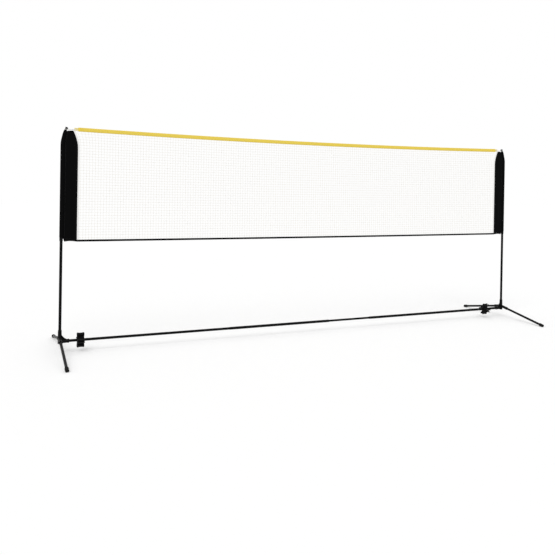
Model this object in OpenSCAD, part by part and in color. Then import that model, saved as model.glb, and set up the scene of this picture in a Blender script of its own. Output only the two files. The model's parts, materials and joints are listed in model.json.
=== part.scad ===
// Free-standing portable net on two telescopic poles.
// Millimetres. X runs along the net, Y from front to rear, Z up.
// The origin lies on the ground, midway between the poles.

/* [Overall] */
// Width over the two hubs
overall_w = 4000; // [3000:10:5000]
// Depth over the end caps of the feet
overall_d = 1030; // [800:10:1300]
// Height of the pole tips with the poles drawn out
raised_h = 1580; // [1500:5:1620]

/* [Feet] */
// Outer diameter of a foot tube
foot_d = 19; // [16:0.5:22]
// Slope of a foot, down from the hub, in degrees
foot_slope = 10; // [8:0.5:12]
// Radial wall of the rubber cap on a foot
cap_wall = 3; // [2:0.5:4]
// Length of the rubber cap
cap_len = 38; // [25:1:50]
// Thickness of the closed end of the cap
cap_end = 4; // [3:0.5:6]
// Depth of the flat that each cap stands on
sole_cut = 2; // [1:0.5:3]

/* [Hub] */
// Radial wall of the post socket at its foot
socket_wall = 3.5; // [3:0.25:5]
// How much thinner the post socket's wall is at its mouth
socket_draft = 0.9; // [0.4:0.1:1.2]
// Height of the post socket above the bar's axis
socket_rise = 78; // [60:1:84]
// Distance from the post's axis to the mouth of the bar socket
bar_socket_len = 62; // [45:1:80]
// Distance from the post's axis to the mouth of a foot socket
foot_socket_len = 78; // [60:1:110]
// Radial wall of the bar and foot sockets
stub_wall = 2.8; // [2:0.2:4]
// Height of the bar's axis below the point where the feet meet
bar_drop = 18.5; // [16:0.5:20]
// Thickness of the gusset between post socket and bar socket
gusset_t = 6; // [4:0.5:10]
// Height of the gusset above the bar's axis, at the post
gusset_rise = 46; // [34:1:50]
// Width of the rib along the gusset's curved edge
rib_w = 15; // [10:1:18]

/* [Poles] */
// Length of the upper pole that stays in the lower one when it is drawn out
pole_overlap = 83; // [60:1:160]
// Outer diameter of the lower pole
lower_d = 20; // [19.5:0.5:21]
// Outer diameter of the upper pole
upper_d = 17; // [16:0.25:17]
// Wall of the lower pole
lower_wall = 1.2; // [1:0.1:1.3]
// Wall of the upper pole
upper_wall = 1.2; // [0.8:0.1:1.6]
// Radius of the bend at the top of the upper pole
bend_r = 258; // [220:2:300]
// Angle through which the top of the upper pole bends, in degrees
bend_angle = 26; // [22:1:28]
// Height of the stop rib rolled into the tube where the bend starts
stop_h = 3; // [2:0.5:3.5]
// How far the stop rib stands out of the tube
stop_rib = 0.8; // [0.4:0.1:1.2]
// Height of the flange of the tip cap
tip_flange = 4; // [3:0.5:6]
// Overhang of the tip cap's flange past the tube
tip_overhang = 1.8; // [1.2:0.2:2.4]
// Height of the crown above the flange
tip_crown = 2.5; // [1.5:0.5:4]

/* [Lock collar] */
// Length of the twist collar
collar_len = 34; // [26:1:40]
// Length of the collar above the end of the lower pole
collar_lip = 15; // [10:1:20]
// Radial wall of the collar round the lower pole, ribs included
collar_wall = 2; // [1.6:0.1:2.2]
// Number of grip ribs
collar_ribs = 14; // [8:1:18]
// Radius of a grip rib
collar_rib_r = 0.7; // [0.4:0.1:0.9]

/* [Crossbar] */
// Outer diameter of the left bar tube
bar_left_d = 19; // [18:0.25:19]
// Outer diameter of the middle and right bar tubes
bar_d = 21; // [20.8:0.2:22]
// Outer diameter of the link tube
link_d = 17; // [15:0.5:17.4]
// Wall of every bar tube
bar_wall = 0.95; // [0.8:0.05:1.2]
// Distance from the left post's axis to the mouth of the middle tube
joint_left_at = 1256; // [1100:2:1400]
// Distance from the left post's axis to the end of the middle tube
link_at = 2122; // [1900:2:2300]
// Distance from the left post's axis to the mouth of the right tube
joint_right_at = 2524; // [2400:2:2700]
// Length of tube that is plugged into the next one
plug_in = 70; // [40:2:120]
// Length of the bush that centres the link tube
bush_len = 18; // [10:1:30]
// Thickness of the bush's visible flange
bush_flange = 3; // [2:0.5:5]

/* [Clips] */
// Distance from the left post's axis to the middle of the left clip
clip_left_at = 140; // [120:1:400]
// Distance from the right post's axis to the middle of the right clip
clip_right_at = 195; // [120:1:400]
// How far the right clip is turned on the bar, in degrees
clip_right_turn = 17; // [-40:1:40]
// Length of a clip along the bar
clip_len = 50; // [40:1:56]
// Thickness of each of the two cross plates of a clip
plate_t = 12; // [8:1:16]
// Radius of the tube space in a jaw
jaw_r = 10; // [9:0.25:10.5]
// Wall of a jaw
jaw_wall = 4; // [3:0.25:4.5]
// Distance from the bar's axis to the middle of a jaw
jaw_at = 40; // [34:0.5:40.5]
// Half the angle of a jaw's mouth, in degrees
jaw_mouth = 48; // [40:2:56]
// Wall of the clip's sleeve round the bar
sleeve_wall = 4; // [3:0.25:5]

/* [Fabric] */
// Height of the net from the top of its band to the lower tape's edge
fabric_h = 803; // [700:1:830]
// Distance from the pole's axis to the inner edge of a side pocket
pocket_w = 105; // [95:1:140]
// Thickness of the pocket's double cloth
pocket_t = 2.4; // [1.6:0.2:4]
// Cloth round the pole, measured outwards from the bore
sleeve_cloth = 1; // [0.8:0.1:1.4]
// Height of the sleeve's lower end above the pocket's lower edge
sleeve_lift = 32; // [30:1:60]
// Height of the pocket's inner peak below the top of the band
peak_drop = 23; // [20:1:28]
// Distance from the pole's axis to the pocket's inner peak
peak_at = 71; // [60:1:76]
// Height over which the pocket's inner edge narrows to its peak
taper_h = 126; // [80:2:200]
// Height of the yellow band
band_h = 28; // [22:1:40]
// Thickness of the yellow band
band_t = 5.2; // [4.8:0.2:8]
// How far the band sags in the middle of the span
band_sag = 20; // [0:1:40]
// Height of the lower tape
tape_h = 14; // [10:1:20]
// Thickness of the lower tape
tape_t = 4.4; // [4.2:0.2:6]
// How far the lower tape sags in the middle of the span
tape_sag = 3; // [0:1:10]
// Thickness of the net
net_t = 1.6; // [1.2:0.2:2]
// Width of one strand of the net
strand_w = 3; // [2:0.5:5]
// Width of the net's hem at each side
hem_w = 12; // [6:1:20]
// Columns of open cells
net_cols = 37; // [10:1:37]
// Rows of open cells
net_rows = 8; // [3:1:8]

/* [End tabs and loops] */
// Height of the tab at each end of the band
tab_h = 19; // [14:1:20]
// Length of tab that shows past the end of the band
tab_out = 28; // [26:1:36]
// Length of tab that is sewn into the band
tab_in = 24; // [12:1:40]
// Tab left between its end and the eyelet
eyelet_margin = 4; // [3:0.5:8]
// Radius of the eyelet in the tab
eyelet_r = 3; // [2.6:0.2:4]
// Diameter of the elastic loop's cord
loop_d = 3; // [2:0.25:3.4]

/* [Hidden] */
$fn = 48;

LEFT = -1;
RIGHT = 1;
FRONT = -1;
REAR = 1;

plug_fit = 0.05;     // radial play of tubes plugged into sockets
slide_fit = 0.08;    // radial play of the guide plug in the lower pole
turn_fit = 0.05;     // radial play of the collars and clips that turn
cloth_fit = 0.3;     // gap between cloth and its neighbours
sleeve_fit = 0.4;    // gap between the sleeve and the collar that it passes
stop_gap = 2;        // what is left above the collar at the lowest setting
rest_gap = 1;        // what is left under the guide plug at the lowest setting
cut = 1;             // how far a cutting shape runs past the face that it opens

// Feet
foot_r = foot_d / 2;
foot_wall = 1.2;
cap_r = foot_r + cap_wall;
cap_chamfer = 2;
cap_ribs = 3;
cap_rib_w = 2.5;
cap_rib_gap = 3.5;
cap_rib_out = 0.7;
foot_end = (overall_d / 2 - (cap_r - cap_chamfer) * sin(foot_slope)) / cos(foot_slope);
apex_z = (foot_end - cap_chamfer) * sin(foot_slope) + cap_r * cos(foot_slope) - sole_cut;
foot_start = 20;

// Hub
lower_r = lower_d / 2;
socket_r = lower_r + socket_wall;
pole_x = overall_w / 2 - socket_r;
bar_z = apex_z - bar_drop;
hub_bottom = bar_z - bar_d / 2 - stub_wall - 2;
hub_floor = 6;
socket_taper = 40;
rim_h = 6;
rim_out = 1;
rib_shift = [2, 3];      // from the gusset's curved edge to the rib's underside
gusset_steps = 9;
post_floor = hub_bottom + hub_floor;
socket_top = bar_z + socket_rise;
bar_start = 15;
slot_w = 4;
slot_h = 24;
slot_z = socket_top - 34;

// Poles
upper_r = upper_d / 2;
lower_bore = lower_r - lower_wall;
upper_bore = upper_r - upper_wall;
stop_edge = 0.6;
guide_end = 4;
guide_len = 22;
tip_r = upper_r + tip_overhang;
crown_r = tip_r - tip_crown;
tip_rise = max((tip_flange + tip_crown) * cos(bend_angle) + crown_r * sin(bend_angle),
               tip_flange * cos(bend_angle) + tip_r * sin(bend_angle));
bend_z = raised_h - tip_rise - bend_r * sin(bend_angle);
travel = (bend_z - post_floor - pole_overlap - collar_lip - stop_gap - rest_gap - guide_end) / 2;
collar_top = bend_z - travel - stop_gap;
lower_top = collar_top - collar_lip;
upper_bottom = post_floor + rest_gap + guide_end + travel;
collar_r = lower_r + collar_wall;
collar_cone = 3;
tip_stem = 16;

// Crossbar
bar_r = bar_d / 2;
bar_bore = bar_r - bar_wall;
bar_left_r = bar_left_d / 2;
middle_bore = bar_left_r + plug_fit;
link_r = link_d / 2;

// Clips
lip_share = 0.6;         // radius of a jaw's lip as a share of the jaw's wall
plate_out = 1.5;         // how far the cross plates stand out of the jaws between them
neck_w = 9;

// Fabric
band_top = raised_h - 1;
net_bottom = band_top - fabric_h;
half_span = pole_x - pocket_w;
sleeve_bore = collar_r + sleeve_fit;
sleeve_r = sleeve_bore + sleeve_cloth;
sleeve_bottom = net_bottom + sleeve_lift;
arch_bore = upper_r + sleeve_fit;
arch_r = arch_bore + 2 * sleeve_cloth;
neck_h = 14;
neck_step = 0.8;
peak_z = band_top - peak_drop;
arch_angle = asin((peak_z - 7 - bend_z) / bend_r);
pocket_gap = 0.35;   // between the net and the pocket, edge to edge
panel_edge = socket_r + 2.5;
fold_t = 3;
slot_t = net_t + 2 * cloth_fit;
tab_z = band_top - fold_t - cloth_fit - tab_h - 0.6;
tab_t = net_t;
loop_z = tab_z + tab_h / 3;
span_steps = 24;

// The inner edge of a side pocket, from its full width up to its peak
taper_curve = [[0, 0], [0.16, 0.36], [0.48, 0.72], [1, 1]];
pocket_taper = [for (p = taper_curve)
    [pocket_w - p[0] * (pocket_w - peak_at), peak_z - (1 - p[1]) * taper_h]];

// Height of the band's top edge and of the lower tape's edge, at x
function band_edge(x) = band_top - band_sag * (1 - pow(x / half_span, 2));
function tape_edge(x) = net_bottom - tape_sag * (1 - pow(x / half_span, 2));

// Evenly spaced places from one end of a span to the other
function stations(from, to, steps) = [for (i = [0:steps]) from + (to - from) * i / steps];

// ---- Helpers ----

// Puts a part that is drawn round x = 0, with +x towards the net, at one of the posts
module at_post(side) {
    translate([side * pole_x, 0, 0])
        mirror([side > 0 ? 1 : 0, 0, 0])
            children();
}

// Turns +z into the direction of the front or rear foot, from the point where the feet meet
module along_foot(end) {
    translate([0, 0, apex_z])
        rotate([-end * (90 + foot_slope), 0, 0])
            children();
}

// Turns +z into the direction of the bar, away from the post
module along_bar(from) {
    translate([from, 0, bar_z])
        rotate([0, 90, 0])
            children();
}

// A round section of radius r, carried along the pole's bend
module bend(r, angle) {
    translate([bend_r, 0, bend_z])
        mirror([1, 0, 0])
            rotate([90, 0, 0])
                rotate_extrude(angle = angle, $fn = 96)
                    translate([bend_r, 0])
                        circle(r = r, $fn = 48);
}

module tube(r, bore, h) {
    difference() {
        cylinder(r = r, h = h);
        translate([0, 0, -cut])
            cylinder(r = bore, h = h + 2 * cut);
    }
}

// A tape folded over an edge: its section opens downwards from a round fold at the top
function fold_section(thick, high, slot, roof) =
    let (round_h = min(thick / 2, 0.8 * roof))
    concat([for (a = [0:30:180]) [thick / 2 * cos(a), round_h * (sin(a) - 1)]],
           [[-thick / 2, -high], [-slot / 2, -high], [-slot / 2, -roof],
            [slot / 2, -roof], [slot / 2, -high], [thick / 2, -high]]);

// The same section cut into convex faces: the fold itself and its two sides
FOLD_FACES = [[0, 1, 2, 3, 4, 5, 6, 9, 10], [6, 7, 8, 9], [10, 11, 12, 0]];

// The folded section in y and z, carried along x through stations of [x, z]
module folded_tape(section, rail) {
    n = len(section);
    last = len(rail) - 1;
    points = [for (s = rail) for (p = section) [s[0], p[0], s[1] + p[1]]];
    sides = [for (i = [0:last - 1]) for (j = [0:n - 1])
        let (k = (j + 1) % n, a = i * n)
        each [[a + j, a + n + j, a + n + k], [a + j, a + n + k, a + k]]];
    near_end = FOLD_FACES;
    far_end = [for (f = FOLD_FACES) [for (i = [len(f) - 1:-1:0]) last * n + f[i]]];
    polyhedron(points = points, faces = concat(near_end, far_end, sides));
}

// A cord of radius r along a closed, level line of points, drawn counter-clockwise
module cord_ring(line, r, sides) {
    n = len(line);
    points = [for (i = [0:n - 1])
        let (ahead = line[(i + 1) % n] - line[(i + n - 1) % n],
             out = [ahead[1], -ahead[0]] / norm(ahead))
        for (j = [0:sides - 1])
            let (a = 360 * j / sides)
            [line[i][0] + r * cos(a) * out[0], line[i][1] + r * cos(a) * out[1], r * sin(a)]];
    faces = [for (i = [0:n - 1]) for (j = [0:sides - 1])
        let (a = i * sides, b = ((i + 1) % n) * sides, k = (j + 1) % sides)
        each [[a + j, a + k, b + k], [a + j, b + k, b + j]]];
    polyhedron(points = points, faces = faces);
}

// ---- Feet ----

module foot(side, end) {
    color("#1b1b1c")
        at_post(side)
            along_foot(end)
                translate([0, 0, foot_start + plug_fit])
                    tube(foot_r, foot_r - foot_wall, foot_end - cap_end - foot_start - 2 * plug_fit);
}

module foot_cap(side, end) {
    color("#101010")
        at_post(side)
            difference() {
                along_foot(end) {
                    difference() {
                        union() {
                            translate([0, 0, foot_end - cap_len])
                                cylinder(r = cap_r, h = cap_len - cap_chamfer);
                            translate([0, 0, foot_end - cap_chamfer])
                                cylinder(r1 = cap_r, r2 = cap_r - cap_chamfer, h = cap_chamfer);
                            for (i = [0:cap_ribs - 1])
                                translate([0, 0, foot_end - cap_len + 2 + i * (cap_rib_w + cap_rib_gap)])
                                    cylinder(r = cap_r + cap_rib_out, h = cap_rib_w);
                        }
                        translate([0, 0, foot_end - cap_len - cut])
                            cylinder(r = foot_r + plug_fit, h = cap_len - cap_end + cut);
                    }
                }
                translate([-2 * cap_r, -overall_d, -2 * cap_r])
                    cube([4 * cap_r, 2 * overall_d, 2 * cap_r]);
            }
}

// ---- Hub ----

module gusset() {
    near = lower_r + 1;
    far = bar_socket_len - 4;
    low = bar_z + bar_r;
    edge = [for (i = [0:gusset_steps])
        let (t = i / gusset_steps)
        [near + (far - near) * t, low + (bar_z + gusset_rise - low) * pow(1 - t, 2)]];
    translate([0, gusset_t / 2, 0])
        rotate([90, 0, 0])
            linear_extrude(gusset_t)
                polygon(concat([[near, bar_z]], edge, [[far, bar_z]]));
    translate([0, rib_w / 2, 0])
        rotate([90, 0, 0])
            linear_extrude(rib_w)
                polygon(concat(edge, [for (i = [gusset_steps:-1:0]) edge[i] - rib_shift]));
}

module hub(side) {
    bar_fit_r = (side == LEFT ? bar_left_r : bar_r) + plug_fit;
    color("#161617")
        at_post(side)
            difference() {
                union() {
                    translate([0, 0, hub_bottom])
                        cylinder(r = socket_r, h = socket_top - socket_taper - hub_bottom);
                    translate([0, 0, socket_top - socket_taper])
                        cylinder(r1 = socket_r, r2 = socket_r - socket_draft, h = socket_taper);
                    along_bar(0)
                        cylinder(r = bar_r + stub_wall, h = bar_socket_len);
                    along_bar(bar_socket_len - rim_h)
                        cylinder(r = bar_r + stub_wall + rim_out, h = rim_h);
                    for (end = [FRONT, REAR])
                        along_foot(end) {
                            cylinder(r = foot_r + stub_wall, h = foot_socket_len);
                            translate([0, 0, foot_socket_len - rim_h])
                                cylinder(r = foot_r + stub_wall + rim_out, h = rim_h);
                        }
                    gusset();
                }
                translate([0, 0, post_floor])
                    cylinder(r = lower_r + plug_fit, h = socket_top - post_floor + cut);
                along_bar(bar_start)
                    cylinder(r = bar_fit_r, h = bar_socket_len - bar_start + cut);
                for (end = [FRONT, REAR])
                    along_foot(end)
                        translate([0, 0, foot_start])
                            cylinder(r = foot_r + plug_fit, h = foot_socket_len - foot_start + cut);
                for (end = [FRONT, REAR])
                    translate([-slot_w / 2, end * socket_r - 4, slot_z])
                        cube([slot_w, 8, slot_h]);
            }
}

// ---- Poles ----

module lower_pole(side) {
    color("#1b1b1c")
        at_post(side)
            translate([0, 0, post_floor])
                tube(lower_r, lower_bore, lower_top - post_floor);
}

module lock_collar(side) {
    body_r = collar_r - collar_rib_r;
    color("#0f0f10")
        at_post(side)
            difference() {
                union() {
                    translate([0, 0, collar_top - collar_len])
                        cylinder(r = body_r, h = collar_len - collar_cone);
                    translate([0, 0, collar_top - collar_cone])
                        cylinder(r1 = body_r, r2 = upper_r + 1.6, h = collar_cone);
                    for (i = [0:collar_ribs - 1])
                        rotate([0, 0, 360 * i / collar_ribs])
                            translate([body_r, 0, collar_top - collar_len + collar_cone])
                                cylinder(r = collar_rib_r, h = collar_len - 3 * collar_cone, $fn = 16);
                }
                translate([0, 0, collar_top - collar_len - cut])
                    cylinder(r = lower_r + turn_fit, h = collar_len - collar_lip + cut + plug_fit);
                translate([0, 0, collar_top - collar_lip])
                    cylinder(r = upper_r + turn_fit, h = collar_lip + cut);
            }
}

module upper_pole(side) {
    color("#1b1b1c")
        at_post(side)
            difference() {
                union() {
                    translate([0, 0, upper_bottom])
                        cylinder(r = upper_r, h = bend_z - upper_bottom);
                    translate([0, 0, bend_z - stop_h / 2])
                        cylinder(r = upper_r + stop_rib, h = stop_h);
                    bend(upper_r, bend_angle);
                }
                translate([0, 0, upper_bottom - cut])
                    cylinder(r = upper_bore, h = bend_z - upper_bottom + cut);
                translate([0, 0, bend_z - stop_h / 2 + stop_edge])
                    cylinder(r = upper_bore + stop_rib, h = stop_h - 2 * stop_edge);
                bend(upper_bore, bend_angle);
            }
}

module guide_plug(side) {
    color("#2a2a2c")
        at_post(side)
            translate([0, 0, upper_bottom - guide_end]) {
                cylinder(r = lower_bore - slide_fit, h = guide_end);
                translate([0, 0, guide_end])
                    cylinder(r = upper_bore - plug_fit, h = guide_len);
            }
}

module tip_cap(side) {
    color("#101010")
        at_post(side)
            translate([bend_r * (1 - cos(bend_angle)), 0, bend_z + bend_r * sin(bend_angle)])
                rotate([0, bend_angle, 0]) {
                    translate([0, 0, -tip_stem])
                        cylinder(r1 = upper_bore - 1.2, r2 = upper_bore - 0.5, h = tip_stem);
                    cylinder(r = tip_r, h = tip_flange);
                    translate([0, 0, tip_flange])
                        cylinder(r1 = tip_r, r2 = crown_r, h = tip_crown);
                }
}

// ---- Crossbar: four tubes plugged together ----

// A tube from one distance to another, both measured from the left post's axis
module bar_tube(r, from, to) {
    color("#1b1b1c")
        translate([-pole_x, 0, 0])
            along_bar(from)
                tube(r, r - bar_wall, to - from);
}

module crossbar_left() {
    bar_tube(bar_left_r, bar_start + plug_fit, joint_left_at + plug_in);
}

module crossbar_middle() {
    color("#1b1b1c")
        translate([-pole_x, 0, 0])
            along_bar(joint_left_at)
                tube(bar_r, middle_bore, link_at - joint_left_at);
}

module crossbar_link() {
    bar_tube(link_r, link_at - plug_in, joint_right_at + plug_in);
}

module crossbar_right() {
    bar_tube(bar_r, joint_right_at, 2 * pole_x - bar_start - plug_fit);
}

// A bush that fills the space between the link tube and the tube that it enters
module link_bush(at, dir, bore) {
    color("#0f0f10")
        translate([-pole_x, 0, 0])
            translate([at, 0, bar_z])
                rotate([0, 90 * dir, 0])
                    difference() {
                        union() {
                            translate([0, 0, -bush_flange])
                                cylinder(r = bar_r, h = bush_flange);
                            cylinder(r = bore - plug_fit, h = bush_len);
                        }
                        translate([0, 0, -bush_flange - cut])
                            cylinder(r = link_r + plug_fit, h = bush_len + bush_flange + 2 * cut);
                    }
}

// ---- Clips: a sleeve on the bar with four open jaws ----

// One jaw, opening along +x, drawn round the bar's axis
module jaw_outline(wall) {
    difference() {
        translate([jaw_at, 0])
            circle(r = jaw_r + wall);
        translate([jaw_at, 0])
            circle(r = jaw_r);
        translate([jaw_at, 0])
            polygon([[0, 0], 2 * jaw_r * [cos(jaw_mouth), -sin(jaw_mouth)], [3 * jaw_r, 0],
                     2 * jaw_r * [cos(jaw_mouth), sin(jaw_mouth)]]);
    }
    for (s = [-1, 1])
        translate([jaw_at, 0] + (jaw_r + wall / 2) * [cos(jaw_mouth), s * sin(jaw_mouth)])
            circle(r = lip_share * wall, $fn = 24);
}

module tube_clip(side, at, turn, bar_radius) {
    bore = bar_radius + turn_fit;
    sleeve = bore + sleeve_wall;
    color("#0f0f10")
        at_post(side)
            along_bar(at - clip_len / 2)
                rotate([0, 0, turn])
                    difference() {
                        union() {
                            cylinder(r = sleeve, h = clip_len);
                            for (a = [0:90:270])
                                rotate([0, 0, a]) {
                                    translate([sleeve - 2, -neck_w / 2, 0])
                                        cube([jaw_at - jaw_r - sleeve + 1, neck_w, clip_len]);
                                    linear_extrude(clip_len)
                                        jaw_outline(jaw_wall - plate_out);
                                    for (z = [0, clip_len - plate_t])
                                        translate([0, 0, z])
                                            linear_extrude(plate_t)
                                                jaw_outline(jaw_wall);
                                }
                        }
                        translate([0, 0, -cut])
                            cylinder(r = bore, h = clip_len + 2 * cut);
                    }
}

// ---- Net ----

// Height of the net's own lower and upper edges at x, inside the tapes
function net_low(x) = tape_edge(x) + fold_t + cloth_fit;
function net_high(x) = band_edge(x) - fold_t - cloth_fit;

// The net's outline at one end, from its lower corner round the pocket's taper to the band
function net_corner(s) =
    let (hem_top = tab_z - cloth_fit,
         edge = half_span - cloth_fit,
         inner = half_span - tab_in - cloth_fit,
         rim = [for (p = pocket_taper) if (p[1] < hem_top) [pole_x - p[0] - pocket_gap, p[1]]],
         reach = pole_x - pocket_taper[3][0] - pocket_gap)
    [for (p = concat([[edge, net_low(edge)]], rim,
                     [[reach - 0.5, hem_top], [inner, hem_top], [inner, net_high(inner)]]))
        [s * p[0], p[1]]];

module net_mesh() {
    inner = half_span - tab_in - cloth_fit;
    xs = stations(inner, -inner, span_steps);
    lows = stations(-half_span + 6, half_span - 6, span_steps);
    top = [for (i = [1:span_steps - 1]) [xs[i], net_high(xs[i])]];
    bottom = [for (x = lows) [x, net_low(x)]];
    right = net_corner(1);
    left = net_corner(-1);
    n_left = len(left);
    outline = concat(bottom, right, top, [for (i = [n_left - 1:-1:0]) left[i]]);
    cell_w = (2 * (half_span - hem_w)) / net_cols;
    cells = [for (c = [0:net_cols - 1]) for (r = [0:net_rows - 1])
        let (x0 = -half_span + hem_w + c * cell_w + strand_w / 2,
             x1 = x0 + cell_w - strand_w,
             xm = (x0 + x1) / 2,
             low = tape_edge(xm) + tape_h,
             high = band_edge(xm) - band_h,
             step = (high - low) / net_rows,
             z0 = low + r * step + strand_w / 2,
             z1 = z0 + step - strand_w)
        [[x0, z0], [x1, z0], [x1, z1], [x0, z1]]];
    color("#f4f3ef")
        translate([0, net_t / 2, 0])
            rotate([90, 0, 0])
                linear_extrude(net_t)
                    difference() {
                        polygon(outline);
                        for (cell = cells)
                            polygon(cell);
                    }
}

module top_band() {
    color("#f0c12e")
        folded_tape(fold_section(band_t, band_h, slot_t, fold_t),
                    [for (x = stations(-half_span, half_span, span_steps)) [x, band_edge(x)]]);
}

module bottom_tape() {
    section = fold_section(tape_t, tape_h, slot_t, fold_t);
    edge = half_span - cloth_fit;
    color("#141414")
        folded_tape(-section, [for (x = stations(-edge, edge, span_steps)) [x, tape_edge(x)]]);
}

// ---- Side pockets ----

module side_pocket(side) {
    arch_end = [bend_r * (1 - cos(arch_angle)), bend_z + bend_r * sin(arch_angle)];
    arch_line = [for (a = [arch_angle:-arch_angle / 4:0])
        [bend_r * (1 - cos(a)), bend_z + bend_r * sin(a)]];
    panel = concat([[panel_edge, net_bottom], [pocket_w, net_bottom]], pocket_taper,
                   [[peak_at - 10, peak_z - 4], [peak_at - 24, peak_z - 8]],
                   arch_line, [[0, sleeve_bottom], [panel_edge, sleeve_bottom]]);
    color("#121213")
        at_post(side)
            difference() {
                union() {
                    translate([0, pocket_t / 2, 0])
                        rotate([90, 0, 0])
                            linear_extrude(pocket_t)
                                polygon(panel);
                    translate([0, 0, sleeve_bottom])
                        cylinder(r = sleeve_r, h = bend_z - sleeve_bottom);
                    translate([0, 0, bend_z])
                        cylinder(r1 = sleeve_r, r2 = arch_r + neck_step, h = neck_h);
                    bend(arch_r, arch_angle);
                }
                translate([0, 0, sleeve_bottom - cut])
                    cylinder(r = sleeve_bore, h = bend_z - sleeve_bottom + 2 * cut);
                translate([0, 0, bend_z])
                    cylinder(r1 = sleeve_bore, r2 = arch_bore + neck_step, h = neck_h / 2);
                bend(arch_bore, arch_angle + 2);
            }
}

// ---- End tabs and loops ----

module band_tab(side) {
    from = pocket_w - tab_out;
    color("#efe9d2")
        at_post(side)
            translate([0, tab_t / 2, 0])
                rotate([90, 0, 0])
                    linear_extrude(tab_t)
                        difference() {
                            translate([from, tab_z])
                                square([tab_out + tab_in, tab_h]);
                            translate([from + eyelet_margin + eyelet_r, loop_z])
                                circle(r = eyelet_r);
                        }
}

module band_loop(side) {
    cord_r = loop_d / 2;
    lean = asin((loop_z - bend_z) / bend_r);
    post_at = bend_r * (1 - cos(lean));
    post_r = upper_r / cos(lean) + cloth_fit + cord_r;
    hook_r = tab_t / 2 + 2 * cloth_fit + cord_r;
    hook_at = pocket_w - tab_out + eyelet_margin + eyelet_r - hook_r;
    open = asin((post_r - hook_r) / (hook_at - post_at));
    line = concat(
        [for (a = stations(90 - open, 270 + open, 20)) [post_at + post_r * cos(a), post_r * sin(a)]],
        [for (a = stations(open - 90, 90 - open, 10)) [hook_at + hook_r * cos(a), hook_r * sin(a)]]);
    color("#f1efe6")
        at_post(side)
            translate([0, 0, loop_z])
                cord_ring(line, cord_r, 10);
}

hub(LEFT);  // hub_left
hub(RIGHT);  // hub_right
foot(LEFT, FRONT);  // foot_front_left
foot(LEFT, REAR);  // foot_rear_left
foot(RIGHT, FRONT);  // foot_front_right
foot(RIGHT, REAR);  // foot_rear_right
foot_cap(LEFT, FRONT);  // foot_cap_front_left
foot_cap(LEFT, REAR);  // foot_cap_rear_left
foot_cap(RIGHT, FRONT);  // foot_cap_front_right
foot_cap(RIGHT, REAR);  // foot_cap_rear_right
lower_pole(LEFT);  // lower_pole_left
lower_pole(RIGHT);  // lower_pole_right
lock_collar(LEFT);  // lock_collar_left
lock_collar(RIGHT);  // lock_collar_right
upper_pole(LEFT);  // upper_pole_left
upper_pole(RIGHT);  // upper_pole_right
guide_plug(LEFT);  // guide_plug_left
guide_plug(RIGHT);  // guide_plug_right
tip_cap(LEFT);  // tip_cap_left
tip_cap(RIGHT);  // tip_cap_right
crossbar_left();
crossbar_middle();
crossbar_link();
crossbar_right();
link_bush(link_at, -1, middle_bore);  // link_bush_middle
link_bush(joint_right_at, 1, bar_bore);  // link_bush_right
tube_clip(LEFT, clip_left_at, 0, bar_left_r);  // tube_clip_left
tube_clip(RIGHT, clip_right_at, clip_right_turn, bar_r);  // tube_clip_right
net_mesh();
top_band();
bottom_tape();
side_pocket(LEFT);  // side_pocket_left
side_pocket(RIGHT);  // side_pocket_right
band_tab(LEFT);  // band_tab_left
band_tab(RIGHT);  // band_tab_right
band_loop(LEFT);  // band_loop_left
band_loop(RIGHT);  // band_loop_right
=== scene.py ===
import json
import math
import bpy
import bmesh
import numpy as np
from mathutils import Matrix, Vector, noise

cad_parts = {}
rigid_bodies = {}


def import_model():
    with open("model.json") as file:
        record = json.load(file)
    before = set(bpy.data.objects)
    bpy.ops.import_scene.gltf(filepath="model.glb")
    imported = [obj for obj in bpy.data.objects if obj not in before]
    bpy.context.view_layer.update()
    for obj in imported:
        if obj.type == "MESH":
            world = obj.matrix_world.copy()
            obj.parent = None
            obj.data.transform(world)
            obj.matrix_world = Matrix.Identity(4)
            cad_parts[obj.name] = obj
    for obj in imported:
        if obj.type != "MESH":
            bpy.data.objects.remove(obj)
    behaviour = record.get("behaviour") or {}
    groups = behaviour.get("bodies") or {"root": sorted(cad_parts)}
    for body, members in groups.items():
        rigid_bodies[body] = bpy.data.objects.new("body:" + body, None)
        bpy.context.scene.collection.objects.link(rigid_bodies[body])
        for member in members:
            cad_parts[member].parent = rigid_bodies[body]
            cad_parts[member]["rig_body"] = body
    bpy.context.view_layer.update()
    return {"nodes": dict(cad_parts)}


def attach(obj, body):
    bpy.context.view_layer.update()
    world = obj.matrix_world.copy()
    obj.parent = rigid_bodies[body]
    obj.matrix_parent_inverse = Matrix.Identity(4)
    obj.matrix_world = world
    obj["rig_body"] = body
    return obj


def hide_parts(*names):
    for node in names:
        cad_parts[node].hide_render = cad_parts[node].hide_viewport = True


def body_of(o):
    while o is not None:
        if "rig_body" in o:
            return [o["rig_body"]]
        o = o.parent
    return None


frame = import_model()
nodes = frame["nodes"]
scene = bpy.context.scene
print("frame loaded:", len(nodes), "nodes")

def placed(name, data):
    thing = bpy.data.objects.new(name, data)
    scene.collection.objects.link(thing)
    return thing

# Place and clip in metres, angles in degrees, focal length and rise in picture widths, sensor in mm
cameraView = {"place": (-2.421, -4.710, 1.165), "yaw": 23.8, "pitch": -0.29, "roll": 0.92,
              "focal": 1.1595, "rise": -0.1525, "sensor": 36, "clip": (0.05, 200)}

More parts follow.
